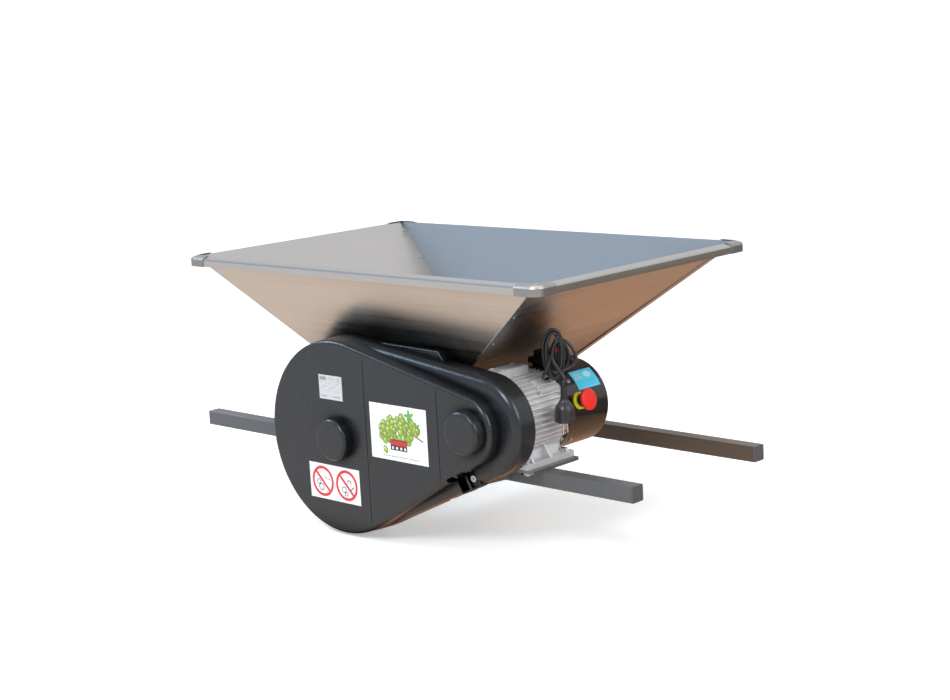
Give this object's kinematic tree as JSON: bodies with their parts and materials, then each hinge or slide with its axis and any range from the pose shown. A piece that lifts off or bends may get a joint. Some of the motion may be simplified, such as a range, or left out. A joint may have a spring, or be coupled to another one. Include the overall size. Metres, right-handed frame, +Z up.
{
  "type": "grape crusher",
  "caption": "Motor-driven roller grape crusher: stainless pyramid hopper on a bar frame, grey moulded belt guard, finned electric motor with emergency stop",
  "frame": {"origin": "centre of the underside of the front bar", "axes": "X along the bars towards the motor, Y from the belt guard towards the rear bar, Z up"},
  "size_m": [1.174, 0.6202, 0.5218],
  "materials": {
    "bar_paint": "satin dark grey paint on steel tube",
    "black_plastic": "moulded, fine texture",
    "stainless": "brushed stainless sheet",
    "zinc_steel": "bright zinc plate",
    "nylon": "machined nylon",
    "cast_aluminium": "cast, machined on the working faces",
    "spring_steel": "oiled spring steel",
    "gear_iron": "machined cast iron, lightly greased",
    "belt_rubber": "matte rubber",
    "guard_plastic": "fine-grained moulded charcoal plastic",
    "label_print": "printed film",
    "aluminium_rivet": "plain rivet heads",
    "motor_casting": "pressure-cast, bare",
    "lamination": "stacked electrical steel",
    "cowl_paint": "gloss black paint",
    "yellow_plastic": "moulded",
    "red_plastic": "moulded",
    "green_plastic": "moulded",
    "cable_rubber": "glossy black sheath",
    "nickel_brass": "nickel-plated brass"
  },
  "bodies": {
    "machine": {"front_bar": "bar_paint", "rear_bar": "bar_paint", "bar_end_caps": "black_plastic", "front_end_plate": "stainless", "rear_end_plate": "stainless", "left_side_plate": "stainless", "right_side_plate": "stainless", "frame_bolts": "zinc_steel", "body_bolts": "zinc_steel", "front_bearing_blocks": "nylon", "rear_bearing_blocks": "nylon", "v_belt": "belt_rubber", "guard_shell": "guard_plastic", "guard_brackets": "zinc_steel", "guard_screws": "zinc_steel", "guard_labels": "label_print", "cowl_label": "label_print", "hopper_front_panel": "stainless", "hopper_rear_panel": "stainless", "hopper_left_panel": "stainless", "hopper_right_panel": "stainless", "hopper_corner_caps": "stainless", "hopper_rivets": "aluminium_rivet", "motor_plate": "zinc_steel", "motor_frame": "motor_casting", "drive_end_shield": "motor_casting", "rear_end_shield": "motor_casting", "stator": "lamination", "motor_bearings": "zinc_steel", "fan_cowl": "cowl_paint", "cowl_screws": "zinc_steel", "motor_bolts": "zinc_steel", "capacitor": "black_plastic", "estop_collar": "yellow_plastic", "estop_body": "black_plastic", "switch_box": "black_plastic", "cable_gland": "black_plastic", "power_cable": "cable_rubber", "plug_body": "cable_rubber", "plug_pins": "nickel_brass"},
    "drive_roller_set": {"drive_roller": "cast_aluminium", "drive_shaft": "zinc_steel", "drive_shaft_keys": "zinc_steel", "drive_shaft_circlip": "spring_steel", "drive_gear": "gear_iron", "large_pulley": "cast_aluminium", "pulley_nut": "zinc_steel"},
    "driven_roller_set": {"driven_roller": "cast_aluminium", "driven_shaft": "zinc_steel", "driven_shaft_keys": "zinc_steel", "driven_shaft_circlips": "spring_steel", "driven_gear": "gear_iron"},
    "motor_rotor_set": {"rotor": "lamination", "motor_shaft": "zinc_steel", "motor_pulley": "cast_aluminium", "cooling_fan": "black_plastic"},
    "estop_plunger_set": {"estop_plunger": "black_plastic"},
    "estop_head": {"estop_button": "red_plastic"},
    "start_key": {"start_button": "green_plastic"},
    "stop_key": {"stop_button": "red_plastic"}
  },
  "joints": [
    {"name": "drive_roller_spin", "type": "hinge", "parent": "machine", "child": "drive_roller_set", "pos_m": [-0.044, 0.17, 0.06], "axis": [0, 1, 0], "continuous": true},
    {"name": "driven_roller_spin", "type": "hinge", "parent": "machine", "child": "driven_roller_set", "pos_m": [0.076, 0.17, 0.06], "axis": [0, 1, 0], "continuous": true},
    {"name": "motor_spin", "type": "hinge", "parent": "machine", "child": "motor_rotor_set", "pos_m": [0.291, 0.02, 0.116], "axis": [0, 1, 0], "continuous": true},
    {"name": "estop_press", "type": "slide", "parent": "machine", "child": "estop_plunger_set", "axis": [-0.9703, 0, -0.2419], "range_m": [0, 0.004]},
    {"name": "estop_twist", "type": "hinge", "parent": "estop_plunger_set", "child": "estop_head", "pos_m": [0.38803, 0.103, 0.14019], "axis": [0.9703, 0, 0.2419], "range_deg": [0, 45]},
    {"name": "start_press", "type": "slide", "parent": "machine", "child": "start_key", "axis": [0, 0, -1], "range_m": [0, 0.0025]},
    {"name": "stop_press", "type": "slide", "parent": "machine", "child": "stop_key", "axis": [0, 0, -1], "range_m": [0, 0.0025]}
  ],
  "couplings": [
    {"joint": "driven_roller_spin", "follows": "drive_roller_spin", "ratio": -1},
    {"joint": "motor_spin", "follows": "drive_roller_spin", "ratio": 5.0312}
  ]
}
